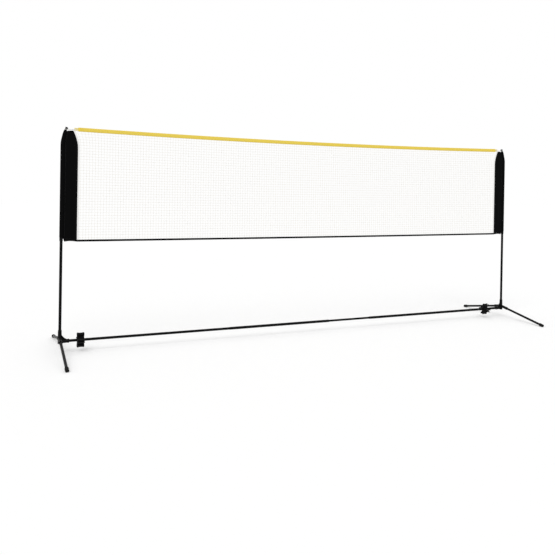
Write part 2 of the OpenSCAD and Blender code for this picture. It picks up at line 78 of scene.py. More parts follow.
def makeCamera(view):
    yaw, pitch, roll = (math.radians(view[k]) for k in ("yaw", "pitch", "roll"))
    ahead = Vector((math.sin(yaw) * math.cos(pitch), math.cos(yaw) * math.cos(pitch), math.sin(pitch)))
    level = Vector((math.cos(yaw), -math.sin(yaw), 0))
    up = level.cross(ahead)
    across = level * math.cos(roll) + up * math.sin(roll)
    upright = up * math.cos(roll) - level * math.sin(roll)
    data = bpy.data.cameras.new("camera")
    data.sensor_width = view["sensor"]
    data.lens = view["focal"] * view["sensor"]
    data.shift_y = view["rise"]
    data.clip_start, data.clip_end = view["clip"]
    turn = Matrix((across, upright, -ahead)).transposed().to_4x4()
    scene.camera = placed("camera", data)
    scene.camera.matrix_world = Matrix.Translation(view["place"]) @ turn

makeCamera(cameraView)
print("camera placed")


# Node helpers, for shaders and geometry alike

def feed(tree, socket, value):
    # a node gives its first output, a socket is linked, and anything else becomes the socket's value
    if isinstance(value, bpy.types.Node):
        value = value.outputs[0]
    if isinstance(value, bpy.types.NodeSocket):
        tree.links.new(value, socket)
    elif value is not None:
        socket.default_value = value

def put(tree, kind, inputs=None, **settings):  # a new node; inputs go by name or by number
    node = tree.nodes.new(kind)
    for key, value in settings.items():
        setattr(node, key, value)
    for key, value in (inputs or {}).items():
        feed(tree, node.inputs[key], value)
    return node

def emptied(owner):  # the node tree of a material or the world, with nothing in it
    owner.use_nodes = True
    owner.node_tree.nodes.clear()
    return owner.node_tree

def addSocket(tree, label, way, kind, value=None):
    socket = tree.interface.new_socket(label, in_out=way, socket_type="NodeSocket" + kind)
    if value is not None:
        socket.default_value = value

def calc(tree, operation, *values, clamp=False):
    return put(tree, "ShaderNodeMath", dict(enumerate(values)), operation=operation, use_clamp=clamp)

def plus(tree, first, second):
    return calc(tree, "ADD", first, second)

def minus(tree, first, second):
    return calc(tree, "SUBTRACT", first, second)

def times(tree, first, second):
    return calc(tree, "MULTIPLY", first, second)

def vectorCalc(tree, operation, *values):
    return put(tree, "ShaderNodeVectorMath", dict(enumerate(values)), operation=operation)

def scaled(tree, vector, factor):
    return put(tree, "ShaderNodeVectorMath", {0: vector, "Scale": factor}, operation="SCALE")

def partsOf(tree, vector):
    return put(tree, "ShaderNodeSeparateXYZ", {0: vector}).outputs

def combined(tree, *values):
    return put(tree, "ShaderNodeCombineXYZ", dict(enumerate(values)))

def span(tree, value, low, high):  # 0 at low, 1 at high
    return put(tree, "ShaderNodeMapRange", {"Value": value, "From Min": low, "From Max": high}, clamp=True)

def cloud(tree, vector, scale, detail=2.0, rough=0.5):
    return put(tree, "ShaderNodeTexNoise", {
        "Vector": vector, "Scale": scale, "Detail": detail, "Roughness": rough})

def mixed(tree, factor, first, second):
    first, second = ((*c, 1) if isinstance(c, tuple) else c for c in (first, second))
    return put(tree, "ShaderNodeMix", {0: factor, 6: first, 7: second}, data_type="RGBA").outputs[2]


# Shared shader groups: they put out heights, masks and tones only

def shaderGroup(name, inputs, outputs):
    group = bpy.data.node_groups.new(name, "ShaderNodeTree")
    addSocket(group, "Vector", "INPUT", "Vector")
    for label, value in inputs.items():
        addSocket(group, label, "INPUT", "Float", value)
    for label in outputs:
        addSocket(group, label, "OUTPUT", "Float")
    return group, put(group, "NodeGroupInput").outputs, put(group, "NodeGroupOutput").inputs

def weaveGroup():
    group, given, result = shaderGroup("plainWeave", {"Pitch": 0.0008, "Twill": 0.0}, ["Height", "Gaps"])
    x, y, _ = partsOf(group, given["Vector"])
    turns = calc(group, "DIVIDE", math.pi, given["Pitch"])
    u, v = times(group, x, turns), times(group, y, turns)
    lean = plus(group, u, times(group, v, given["Twill"]))
    warp, weft, crossing = (calc(group, "SINE", wave) for wave in (u, v, lean))
    over = calc(group, "GREATER_THAN", times(group, crossing, weft), 0.0)
    warp, weft = calc(group, "ABSOLUTE", warp), calc(group, "ABSOLUTE", weft)
    high = plus(group, times(group, warp, over), times(group, weft, minus(group, 1.0, over)))
    feed(group, result["Height"], high)
    # Gaps marks the hollows between the threads; clothFinish paints shade there
    feed(group, result["Gaps"], calc(group, "POWER", minus(group, 1.0, high), 3.0))
    return group

def grainGroup():
    group, given, result = shaderGroup("fineGrain", {"Fine": 900.0, "Broad": 14.0}, ["Height", "Tone"])
    feed(group, result["Height"], cloud(group, given["Vector"], given["Fine"], 3.0, 0.6))
    feed(group, result["Tone"], cloud(group, given["Vector"], given["Broad"], 4.0, 0.55))
    return group

scuffValues = {"stretch": (1.0, 1.0, 0.35), "edge": 0.78, "more": 0.2, "fade": 0.06,
               "patch": 0.12, "patchEdge": (0.45, 0.6)}

def scuffGroup(v):  # short streaks that run upright, only inside broad patches
    group, given, result = shaderGroup("scuffs", {"Scale": 60.0, "Amount": 0.3}, ["Mask"])
    stretched = vectorCalc(group, "MULTIPLY", given["Vector"], v["stretch"])
    streaks = cloud(group, stretched, given["Scale"], 6.0, 0.7)
    patches = cloud(group, given["Vector"], times(group, given["Scale"], v["patch"]))
    edge = minus(group, v["edge"], times(group, given["Amount"], v["more"]))
    streaks = span(group, streaks, edge, plus(group, edge, v["fade"]))
    feed(group, result["Mask"], times(group, streaks, span(group, patches, *v["patchEdge"])))
    return group

weave, grain, scuffs = weaveGroup(), grainGroup(), scuffGroup(scuffValues)

def useGroup(tree, group, **values):
    return put(tree, "ShaderNodeGroup", values, node_tree=group).outputs


# Materials: dark and light are the two colours that each one varies between

def newMaterial(name, sockets):  # constants go on the shader's own sockets
    material = bpy.data.materials.new(name)
    tree = emptied(material)
    shader = put(tree, "ShaderNodeBsdfPrincipled", sockets)
    put(tree, "ShaderNodeOutputMaterial", {0: shader})
    return material, tree, shader.inputs, put(tree, "ShaderNodeTexCoord").outputs["Object"]

def spread(tree, middle, width, tone):  # a value that varies by this width round its middle
    return plus(tree, middle - width / 2, times(tree, tone, width))

def paint(tree, shader, colour, roughness, height, depth):
    feed(tree, shader["Base Color"], colour)
    feed(tree, shader["Roughness"], roughness)
    bump = put(tree, "ShaderNodeBump", {"Strength": 1.0, "Distance": depth, "Height": height})
    feed(tree, shader["Normal"], bump)

wearValues = {"tone": 9.0, "scuffs": 70.0, "scuffLight": 3.2, "scuffCover": 0.5, "scuffRough": 0.15,
              "dustTo": 0.045, "dustScale": 320.0, "dust": (0.16, 0.15, 0.135), "dustRough": 0.3}

def solidFinish(name, dark, light, rough, fine, depth, scuff, shine, dusty=0.0):
    material, tree, shader, place = newMaterial(name, {"Specular IOR Level": shine})
    w = wearValues
    surface = useGroup(tree, grain, Vector=place, Fine=fine, Broad=w["tone"])
    worn = useGroup(tree, scuffs, Vector=place, Scale=w["scuffs"], Amount=scuff)["Mask"]
    colour = mixed(tree, surface["Tone"], dark, light)
    bare = tuple(w["scuffLight"] * c for c in light)
    colour = mixed(tree, times(tree, worn, w["scuffCover"]), colour, bare)
    roughness = spread(tree, rough, 0.14, surface["Tone"])
    if dusty:  # dust settles on what is near the ground
        low = span(tree, partsOf(tree, place)[2], w["dustTo"], 0.0)
        grains = span(tree, cloud(tree, place, w["dustScale"], 6.0, 0.65), 0.35, 0.75)
        dust = times(tree, times(tree, low, grains), dusty)
        colour = mixed(tree, dust, colour, w["dust"])
        roughness = calc(tree, "ADD", roughness, times(tree, dust, w["dustRough"]), clamp=True)
    roughness = plus(tree, roughness, times(tree, worn, w["scuffRough"]))
    paint(tree, shader, colour, roughness, surface["Height"], depth)
    return material

def clothFinish(name, dark, light, pitch, depth, shine, rough=0.85, twill=0.0, sheen=0.0, shade=0.45):
    material, tree, shader, place = newMaterial(name, {
        "Specular IOR Level": shine, "Sheen Weight": sheen, "Sheen Roughness": 0.5})
    flat = put(tree, "ShaderNodeUVMap", uv_map="cloth")
    threads = useGroup(tree, weave, Vector=flat, Pitch=pitch, Twill=twill)
    uneven = useGroup(tree, grain, Vector=place, Fine=520.0, Broad=16.0)
    tone = plus(tree, times(tree, uneven["Tone"], 0.6), times(tree, uneven["Height"], 0.4))
    colour = mixed(tree, tone, dark, light)
    # painted shade: the gaps between the threads are darkened towards a third of the dark colour, by the
    # amount shade
    colour = mixed(tree, times(tree, threads["Gaps"], shade), colour, tuple(0.35 * c for c in dark))
    height = plus(tree, threads["Height"], times(tree, uneven["Height"], 0.5))
    paint(tree, shader, colour, spread(tree, rough, 0.12, tone), height, depth)
    return material

def cordFinish(name, dark, light, rough=0.6, shine=0.3, pitch=2600.0, depth=0.0001):  # twisted thread
    material, tree, shader, place = newMaterial(name, {"Specular IOR Level": shine})
    x, y, z = partsOf(tree, place)
    along = plus(tree, x, plus(tree, y, z))
    strands = calc(tree, "ABSOLUTE", calc(tree, "SINE", times(tree, along, pitch)))
    uneven = useGroup(tree, grain, Vector=place, Fine=700.0, Broad=22.0)
    colour = mixed(tree, uneven["Tone"], dark, light)
    paint(tree, shader, colour, spread(tree, rough, 0.1, strands), strands, depth)
    return material

def sewingThread(name, dark, light, shine=0.3):
    return cordFinish(name, dark, light, pitch=6000.0, depth=0.00005, shine=shine)

def metalFinish(name, light, rough, depth):
    material, tree, shader, place = newMaterial(name, {"Metallic": 1.0})
    fine = useGroup(tree, grain, Vector=place, Fine=2400.0, Broad=300.0)
    colour = mixed(tree, fine["Tone"], tuple(0.8 * c for c in light), light)
    paint(tree, shader, colour, spread(tree, rough, 0.2, fine["Tone"]), fine["Height"], depth)
    return material

finish = {
    "steel": solidFinish("powderCoatBlack", (0.0018, 0.0018, 0.0019), (0.0038, 0.0038, 0.0041),
                         rough=0.40, fine=1100.0, depth=0.00005, scuff=0.25, shine=0.06),
    "nylon": solidFinish("mouldedNylonBlack", (0.0024, 0.0024, 0.0026), (0.0050, 0.0050, 0.0054),
                         rough=0.46, fine=2200.0, depth=0.00004, scuff=0.35, shine=0.08),
    "rubber": solidFinish("rubberBlack", (0.003, 0.003, 0.003), (0.0058, 0.0056, 0.0054),
                          rough=0.68, fine=900.0, depth=0.00008, scuff=0.15, dusty=0.16, shine=0.085),
    "pocketCloth": clothFinish("pocketClothBlack", (0.0009, 0.0009, 0.0010), (0.0026, 0.0026, 0.0028),
                               pitch=0.0007, depth=0.0001, rough=0.62, shine=0.036, sheen=0.005),
    "tape": clothFinish("tapeBlack", (0.002, 0.002, 0.0021), (0.0045, 0.0045, 0.0048),
                        pitch=0.0009, depth=0.00018, twill=0.5, shine=0.036, sheen=0.01),
    "band": clothFinish("bandYellow", (0.81, 0.61, 0.078), (0.89, 0.69, 0.110),
                        pitch=0.0010, depth=0.0002, rough=0.7, shine=0.25, shade=0.3),
    "webbing": clothFinish("webbingCream", (0.80, 0.68, 0.27), (0.88, 0.76, 0.34),
                           pitch=0.0012, depth=0.0003, rough=0.8, twill=0.5, shine=0.2, shade=0.25),
    "hem": clothFinish("hemWhite", (0.86, 0.85, 0.83), (0.92, 0.915, 0.90),
                       pitch=0.0008, depth=0.00015, rough=0.8, shine=0.2, shade=0.12),
    "netCord": cordFinish("netCordWhite", (0.72, 0.67, 0.56), (0.80, 0.76, 0.66)),
    "elastic": clothFinish("elasticWhite", (0.80, 0.78, 0.72), (0.90, 0.89, 0.85),
                           pitch=0.0009, depth=0.0002, rough=0.7, twill=1.0, shine=0.2, shade=0.3),
    "threadYellow": sewingThread("threadYellow", (0.72, 0.52, 0.035), (0.82, 0.61, 0.055)),
    "threadBlack": sewingThread("threadBlack", (0.010, 0.010, 0.010), (0.02, 0.02, 0.02), shine=0.25),
    "threadGrey": sewingThread("threadGrey", (0.014, 0.014, 0.015), (0.030, 0.030, 0.032)),
    "threadWhite": sewingThread("threadWhite", (0.78, 0.77, 0.74), (0.86, 0.85, 0.83)),
    "metal": metalFinish("nickelPlate", (0.62, 0.61, 0.59), rough=0.32, depth=0.00003),
}
print("materials made:", len(finish))


# Mesh helpers

def addObject(name, mesh, material):
    mesh.materials.append(material)
    return placed(name, mesh)

def skin(name, rows, material, uv, ends=False):
    # rows[i][j] is a point; each row is a closed ring, and ends closes the first and the last one
    rows = np.asarray(rows, float)
    count, width, _ = rows.shape
    marks = [[(i, j), (i, j + 1), (i + 1, j + 1), (i + 1, j)] for i in range(count - 1) for j in range(width)]
    if ends:
        marks.append([(0, j) for j in range(width)][::-1])
        marks.append([(count - 1, j) for j in range(width)])
    mesh = bpy.data.meshes.new(name)
    mesh.from_pydata(rows.reshape(-1, 3).tolist(), [], [[i * width + j % width for i, j in m] for m in marks])
    values = [uv[i][j] for mark in marks for i, j in mark]
    mesh.uv_layers.new(name="cloth").data.foreach_set("uv", np.asarray(values, float).ravel())
    mesh.shade_smooth()
    return addObject(name, mesh, material)

def ringUv(rows):  # u is the length round each row, v the length along the rows, in metres
    rows = np.asarray(rows, float)
    closed = np.concatenate([rows, rows[:, :1]], axis=1)
    around = np.linalg.norm(np.diff(closed, axis=1), axis=2)
    u = np.concatenate([np.zeros((len(rows), 1)), np.cumsum(around, axis=1)], axis=1)
    step = np.linalg.norm(np.diff(closed, axis=0), axis=2).mean(axis=1)
    v = np.concatenate([[0], np.cumsum(step)])
    return np.stack([u, np.repeat(v[:, None], u.shape[1], axis=1)], axis=2)

def joined(name, rows, material, uv):  # a skin whose last row meets its first one again
    piece = skin(name, list(rows) + [rows[0]], material, list(uv) + [uv[0]])
    edit = bmesh.new()
    edit.from_mesh(piece.data)
    bmesh.ops.remove_doubles(edit, verts=edit.verts, dist=1e-7)
    edit.to_mesh(piece.data)
    edit.free()
    return faceOut(piece)

def faceOut(piece):  # turned over where its faces look inward
    mesh = piece.data
    middle = sum((v.co for v in mesh.vertices), Vector()) / len(mesh.vertices)
    if sum((f.center - middle).dot(f.normal) * f.area for f in mesh.polygons) < 0:
        mesh.flip_normals()
    return piece

def settled(piece):  # what the modifiers make becomes the piece's own plain mesh
    graph = bpy.context.evaluated_depsgraph_get()
    mesh = bpy.data.meshes.new_from_object(piece.evaluated_get(graph))
    piece.modifiers.clear()
    piece.data = mesh
    return piece

def ripple(x, y, z, seed):  # smooth noise from -1 to 1
    return noise.noise(Vector((x + 37.1 * seed, y - 11.3 * seed, z + 5.7 * seed)))

def smooth(t):
    t = min(max(t, 0.0), 1.0)
    return t * t * (3 - 2 * t)

def stepsTo(a, b, count):  # points from a on the way to b
    return [(a[0] + (b[0] - a[0]) * k / count, a[1] + (b[1] - a[1]) * k / count) for k in range(count)]

def curved(a, b, c, t):  # from a to c, drawn towards b
    return a * (1 - t) ** 2 + b * 2 * t * (1 - t) + c * t * t


# Geometry node trees

def geometryTree(name, inputs):
    tree = bpy.data.node_groups.new(name, "GeometryNodeTree")
    addSocket(tree, "Geometry", "INPUT", "Geometry")
    for label, value in inputs.items():
        addSocket(tree, label, "INPUT", type(value).__name__.capitalize(), value)
    addSocket(tree, "Material", "INPUT", "Material")
    addSocket(tree, "Geometry", "OUTPUT", "Geometry")
    return tree, put(tree, "NodeGroupInput").outputs

def endTree(tree, given, geometry):  # every tree ends in real meshes with their material
    real = put(tree, "GeometryNodeRealizeInstances", {"Geometry": geometry})
    made = put(tree, "GeometryNodeSetMaterial", {"Geometry": real, "Material": given["Material"]})
    put(tree, "NodeGroupOutput", {0: made})
    return tree

def growPiece(name, tree, values, base=None):
    piece = placed(name, base or bpy.data.meshes.new(name + "Base"))
    grow = piece.modifiers.new("grow", "NODES")
    grow.node_group = tree
    sockets = {s.name: s.identifier for s in tree.interface.items_tree if s.in_out == "INPUT"}
    for key, value in values.items():
        grow[sockets[key]] = value
    settled(piece)
    piece.data.name = name
    return piece

def threadOf(tree, path, sides, radius):  # a closed tube along a path
    section = put(tree, "GeometryNodeCurvePrimitiveCircle", {"Resolution": sides, "Radius": radius})
    return put(tree, "GeometryNodeCurveToMesh", {"Curve": path, "Profile Curve": section, "Fill Caps": True})

def either(tree, test, no, yes):
    return put(tree, "GeometryNodeSwitch", {"Switch": test, "False": no, "True": yes}, input_type="GEOMETRY")

stitchDefaults = {"Pitch": 0.004, "Stitch Length": 0.003, "Thread Radius": 0.0003, "Rise": 0.0003,
                  "Wander": 0.05, "Seed": 5}

def stitchTree():  # one small arch of thread on each point of the resampled lines
    tree, i = geometryTree("stitchRow", stitchDefaults)
    lines = put(tree, "GeometryNodeMeshToCurve", {"Mesh": i["Geometry"]})
    spaced = put(tree, "GeometryNodeResampleCurve", {"Curve": lines, "Length": i["Pitch"]}, mode="LENGTH")
    half = times(tree, i["Stitch Length"], 0.5)
    arch = put(tree, "GeometryNodeCurveQuadraticBezier", {
        "Resolution": 3, "Start": combined(tree, times(tree, half, -1.0)),
        "Middle": combined(tree, None, None, times(tree, i["Rise"], 2.0)), "End": combined(tree, half)})
    thread = threadOf(tree, arch, 5, i["Thread Radius"])
    along = put(tree, "FunctionNodeAlignRotationToVector", {
        "Vector": put(tree, "GeometryNodeInputTangent")}, axis="X")
    outward = put(tree, "GeometryNodeInputNamedAttribute", {"Name": "outward"}, data_type="FLOAT_VECTOR")
    upright = put(tree, "FunctionNodeAlignRotationToVector", {
        "Rotation": along, "Vector": outward.outputs["Attribute"]}, axis="Z", pivot_axis="X")
    stray = put(tree, "FunctionNodeRandomValue", {
        2: times(tree, i["Wander"], -1.0), 3: i["Wander"], "Seed": i["Seed"]}, data_type="FLOAT")
    yaw = combined(tree, None, None, stray.outputs[1])
    turned = put(tree, "FunctionNodeRotateRotation", {0: upright, 1: yaw}, rotation_space="LOCAL")
    return endTree(tree, i, put(tree, "GeometryNodeInstanceOnPoints", {
        "Points": spaced, "Instance": thread, "Rotation": turned}))

stitchRow = stitchTree()

def stitched(name, paths, thread, pitch, length, radius, rise, seed):
    # paths: (points, face) with face -1 where the thread lies on the front and 1 on the back
    points, edges, outward = [], [], []
    for line, face in paths:
        edges += [(len(points) + k, len(points) + k + 1) for k in range(len(line) - 1)]
        points += line
        outward += [(0, face, 0)] * len(line)
    base = bpy.data.meshes.new(name + "Lines")
    base.from_pydata(points, edges, [])
    base.attributes.new("outward", "FLOAT_VECTOR", "POINT").data.foreach_set("vector", np.ravel(outward))
    return growPiece(name, stitchRow, {
        "Material": finish[thread], "Pitch": pitch, "Stitch Length": length, "Thread Radius": radius,
        "Rise": rise, "Seed": seed}, base)


# The stand's own sizes in metres, as its frame is built; x runs along the net and z is up
stand = {"poleX": 1.9865, "poleRadius": 0.0085, "bendFrom": 1.45764, "bendRadius": 0.258, "halfSpan": 1.8815,
         "bandTop": 1.579, "bandSag": 0.020, "netBottom": 0.776, "tapeSag": 0.003,
         "taperFrom": 1.430, "taperHigh": 0.126, "taper": 0.034, "taperPower": 1.9}

def atSide(side, reach, y, z):  # reach is measured from the pole's axis towards the net
    return (side * (stand["poleX"] - reach), y, z)

def named(base, side):
    return base + ("Left" if side < 0 else "Right")

def dress(piece, slot, *stoodFor):  # what is sewn or tied to the net moves with it
    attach(piece, "net")
    if stoodFor:
        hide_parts(*stoodFor)
    return piece


# Net: its highest and lowest rows are held inside the band's and the tape's folds
netValues = {
    "Columns": 188, "Rows": 39, "Half Span": stand["halfSpan"],
    "Band Line": stand["bandTop"] - 0.0245, "Band Sag": stand["bandSag"],
    "Tape Line": stand["netBottom"] + 0.008, "Tape Sag": stand["tapeSag"],
    "Taper Start": stand["taperFrom"], "Taper Height": stand["taperHigh"], "Taper Reach": stand["taper"],
    "Taper Power": stand["taperPower"], "End Pull": 20.0, "Cord Radius": 0.0006, "Cord Sides": 5,
    "Slack": 0.0018, "Slack Scale": 60.0, "Hem Hold": 60.0, "Billow": 0.006, "Billow Scale": 1.6,
    "Knot Radius": 0.00115, "Knots Within": 0.995, "Seed": 3}

def netTree(values):
    tree, i = geometryTree("knottedNet", {**values, "Knots": False, "Across": True})
    grid = put(tree, "GeometryNodeMeshGrid", {
        "Size X": 2, "Size Y": 1, "Vertices X": plus(tree, i["Columns"], 1.0),
        "Vertices Y": plus(tree, i["Rows"], 1.0)})
    # cords: only the edges that run one way, halved so that they can bend between two knots
    edges = put(tree, "GeometryNodeDeleteGeometry", {"Geometry": grid}, domain="FACE", mode="ONLY_FACE")
    ends = put(tree, "GeometryNodeInputMeshEdgeVertices").outputs
    run = vectorCalc(tree, "ABSOLUTE", vectorCalc(tree, "SUBTRACT", ends["Position 1"], ends["Position 2"]))
    level = calc(tree, "GREATER_THAN", *partsOf(tree, run)[:2])
    other = put(tree, "FunctionNodeBooleanMath", {0: level, 1: i["Across"]}, operation="XOR")
    oneWay = put(tree, "GeometryNodeDeleteGeometry", {"Geometry": edges, "Selection": other},
                 domain="EDGE", mode="EDGE_FACE")
    start = either(tree, i["Knots"], put(tree, "GeometryNodeSubdivideMesh", {"Mesh": oneWay}), grid)

    # the flat grid is laid between the band's and the tape's sagging lines and follows the pockets' taper
    px, py, _ = partsOf(tree, put(tree, "GeometryNodeInputPosition"))
    py, fromMiddle = plus(tree, py, 0.5), calc(tree, "ABSOLUTE", px)
    dip = minus(tree, 1.0, times(tree, px, px))
    top = minus(tree, i["Band Line"], times(tree, i["Band Sag"], dip))
    low = minus(tree, i["Tape Line"], times(tree, i["Tape Sag"], dip))
    z = plus(tree, low, times(tree, minus(tree, top, low), py))
    lift = calc(tree, "DIVIDE", minus(tree, z, i["Taper Start"]), i["Taper Height"], clamp=True)
    reach = times(tree, i["Taper Reach"], calc(tree, "POWER", lift, i["Taper Power"]))
    atEnds = calc(tree, "POWER", fromMiddle, i["End Pull"])
    reach = times(tree, times(tree, reach, atEnds), calc(tree, "SIGN", px))
    flat = combined(tree, plus(tree, times(tree, px, i["Half Span"]), reach), None, z)
    # slack cords wander, but are straight at the hems, and the whole net billows a little
    shifted = vectorCalc(tree, "ADD", flat, scaled(tree, (3.1, 7.7, 1.9), i["Seed"]))
    wander = put(tree, "ShaderNodeTexNoise", {"Vector": shifted, "Scale": i["Slack Scale"]}).outputs["Color"]
    loose = minus(tree, 1.0, calc(tree, "POWER", fromMiddle, i["Hem Hold"]))
    wander = vectorCalc(tree, "SUBTRACT", wander, (0.5, 0.5, 0.5))
    jitter = scaled(tree, wander, times(tree, i["Slack"], loose))
    held = times(tree, dip, times(tree, py, minus(tree, 1.0, py)))
    wave = minus(tree, cloud(tree, shifted, i["Billow Scale"], 1.0), 0.5)
    wave = times(tree, wave, times(tree, held, i["Billow"]))
    out = combined(tree, None, times(tree, wave, 8.0))  # with 8 the widest swing is Billow
    place = vectorCalc(tree, "ADD", vectorCalc(tree, "ADD", flat, jitter), out)
    inner = put(tree, "GeometryNodeCaptureAttribute")  # no knots along the sewn sides
    inner.capture_items.new("FLOAT", "Inner")
    feed(tree, inner.inputs["Geometry"], start)
    feed(tree, inner.inputs["Inner"], calc(tree, "LESS_THAN", fromMiddle, i["Knots Within"]))
    shaped = put(tree, "GeometryNodeSetPosition", {"Geometry": inner.outputs["Geometry"], "Position": place})

    lines = put(tree, "GeometryNodeMeshToCurve", {"Mesh": shaped})
    cords = threadOf(tree, lines, i["Cord Sides"], i["Cord Radius"])
    ball = put(tree, "GeometryNodeMeshUVSphere", {"Segments": 6, "Rings": 3, "Radius": i["Knot Radius"]})
    turn = put(tree, "FunctionNodeRandomValue", {
        0: (-0.4, -1.2, -0.4), 1: (0.4, 1.2, 0.4), "Seed": i["Seed"]}, data_type="FLOAT_VECTOR")
    knots = put(tree, "GeometryNodeInstanceOnPoints", {
        "Points": shaped, "Selection": inner.outputs["Inner"], "Instance": ball, "Rotation": turn,
        "Scale": (1.35, 0.95, 1.0)})
    chosen = either(tree, i["Knots"], cords, knots)
    return endTree(tree, i, put(tree, "GeometryNodeSetShadeSmooth", {"Geometry": chosen}))

def makeNet(values):
    shape, values = netTree(values), {**values, "Material": finish["netCord"]}
    pieces = [growPiece("netCordsAcross", shape, {**values, "Across": True}),
              growPiece("netCordsDown", shape, {**values, "Across": False}),
              growPiece("netKnots", shape, {**values, "Knots": True})]
    dress(pieces[0], "net_white", "net_mesh")
    for piece in pieces[1:]:
        dress(piece, "net_white")
    return pieces

net = makeNet(netValues)
print("net knotted:", [len(p.data.polygons) for p in net], "faces")


# Yellow band and black tape: strips folded over the net's edges; up is 1 where the fold is on top,
# rows are the seams' distances from the free edge
bandValues = {"name": "topBand", "edge": stand["bandTop"], "sag": stand["bandSag"], "up": 1, "height": 0.028,
              "thick": 0.0052, "cloth": 0.0011, "step": 0.005, "trim": 0, "wave": 0.0007,
              "rows": (0.0035, 0.0075), "pitch": 0.0042, "seed": 4}
tapeValues = {"name": "bottomTape", "edge": stand["netBottom"], "sag": stand["tapeSag"], "up": -1,
              "height": 0.014, "thick": 0.0044, "cloth": 0.0009, "step": 0.006, "trim": 0.0003,
              "wave": 0.0004, "rows": (0.0025,), "pitch": 0.004, "seed": 9}
seamValues = {"wide": 0.0011, "deep": 0.00022, "pucker": 0.0126, "uneven": 0.0003, "ends": 0.004,
              "step": 0.01, "sunk": 0.0001, "stitch": 0.72, "thread": 0.00028, "rise": 0.00022}
boxValues = {"from": 0.1145, "to": 0.1335, "low": 0.0215, "high": 0.0050, "raised": 0.00005}

def foldProfile(values):  # y and depth below the fold, outside first, then back along the inside
    half, high, cloth = values["thick"] / 2, values["height"], values["cloth"]
    shape = ((0.9, 1.0), (1.0, 0.9), (1.0, 0.78), (1.0, 0.6), (1.0, 0.42), (0.99, 0.26), (0.95, 0.13),
             (0.8, 0.045), (0.45, 0.008))
    outside = [(-half * k, high * d) for k, d in shape]
    outside = outside + [(0, 0)] + [(-y, d) for y, d in outside[::-1]]
    gap = half - cloth
    inside = [(gap * 0.9, high), (gap, high * 0.6), (gap * 0.9, high * 0.2), (0, cloth * 1.4)]
    return outside + inside + [(-y, d) for y, d in inside[-2::-1]], len(outside)

def heightAt(x, depth, v):  # at a depth below the sagging fold
    return v["edge"] - v["sag"] * (1 - (x / stand["halfSpan"]) ** 2) - v["up"] * depth

def stripWave(x, depth, v):  # the free edge waves more than the fold
    long, short = ripple(x * 7, 0, 0, v["seed"]), ripple(x * 45, 0, depth * 60, v["seed"] + 1)
    return (0.25 + 0.75 * depth / v["height"]) * v["wave"] * (long + 0.35 * short)

def foldedStrip(values, material):
    profile, outer = foldProfile(values)
    sewn, reach = seamValues, stand["halfSpan"] - values["trim"]
    count = int(round(2 * reach / values["step"]))
    rows = []
    for k in range(count + 1):
        x = -reach + 2 * reach * k / count
        pull = sewn["deep"] * (0.7 + 0.3 * math.sin(2 * math.pi * x / sewn["pucker"]))
        row = []
        for j, (y, depth) in enumerate(profile):
            up = values["height"] - depth
            seam = sum(math.exp(-((up - r) / sewn["wide"]) ** 2) for r in values["rows"])
            y = y - math.copysign(pull * seam if j < outer else 0, y) + stripWave(x, depth, values)
            z = heightAt(x, depth, values) + sewn["uneven"] * ripple(x * 9, depth * 80, 0, 6)
            row.append((x, y, z))
        rows.append(row)
    return faceOut(skin(values["name"], rows, material, ringUv(rows), ends=True))

def stripStitches(values, thread, extra=()):
    sewn, reach = seamValues, stand["halfSpan"] - seamValues["ends"]
    out = values["thick"] / 2 - sewn["sunk"]
    paths = []
    for face in (-1, 1):
        for r in values["rows"]:
            depth = values["height"] - r
            line = [(x, face * out + stripWave(x, depth, values), heightAt(x, depth, values))
                    for x in np.arange(-reach, reach, sewn["step"])]
            paths.append((line, face))
    return stitched(values["name"] + "Stitches", paths + list(extra), thread, pitch=values["pitch"],
                    length=values["pitch"] * sewn["stitch"], radius=sewn["thread"], rise=sewn["rise"],
                    seed=values["seed"])

def boxStitch(side, v):  # a crossed square where the end tab is sewn in, on both faces
    low, high, a, b = stand["bandTop"] - v["low"], stand["bandTop"] - v["high"], v["from"], v["to"]
    corners = [(a, low), (b, low), (b, high), (a, high), (a, low), (b, high), (b, low), (a, high)]
    line = [p for pair in zip(corners, corners[1:]) for p in stepsTo(*pair, 4)] + corners[-1:]
    out = bandValues["thick"] / 2 + v["raised"]
    return [([atSide(side, r, face * out, z) for r, z in line], face) for face in (-1, 1)]

topBand = dress(foldedStrip(bandValues, finish["band"]), "band_yellow", "top_band")
boxes = boxStitch(-1, boxValues) + boxStitch(1, boxValues)
bandStitches = dress(stripStitches(bandValues, "threadYellow", boxes), "band_yellow")
bottomTape = dress(foldedStrip(tapeValues, finish["tape"]), "tape_black", "bottom_tape")
tapeStitches = dress(stripStitches(tapeValues, "threadBlack"), "tape_black")
print("band and tape sewn")


# Side pockets: two layers of cloth sewn along the net and open round the pole. Lengths in metres, angles
# in degrees: wide and panelFrom run from the pole's axis to the seams, archSleeve is the radius on the bend
pocketValues = {
    "wide": 0.105, "panelFrom": 0.022, "panel": 0.0012, "edge": 0.00085, "cloth": 0.0007, "bound": 0.0006,
    "sleeve": 0.0131, "archSleeve": 0.0103, "throat": 0.0151, "mouth": 35, "loose": 0.018, "creased": 0.012,
    "sleeveFrom": 0.808, "archAngle": 21.8, "neckFrom": 0.001, "neck": 0.055, "straightAbove": 0.90,
    "drawn": 0.35, "foot": 0.08, "footLift": 0.004, "footFrom": 0.012, "footOver": 0.009, "footSeam": 0.0135,
    "folds": 0.0036, "puff": 0.0012, "pucker": 0.0007, "puckerPitch": 0.018, "puckerWidth": 0.016,
    "seamWidth": 0.008, "seamRows": (0.0035, 0.0065), "raised": 0.0001, "sleeveRaised": 0.00015,
    "rows": 176, "panelPoints": 15, "ringSteps": 20, "edgeSteps": 24, "seed": 5,
    "seamStitch": {"pitch": 0.0045, "length": 0.0034, "radius": 0.0003, "rise": 0.00025, "seed": 12},
    "sleeveStitch": {"pitch": 0.0042, "length": 0.0034, "radius": 0.0004, "rise": 0.0003, "seed": 13}}

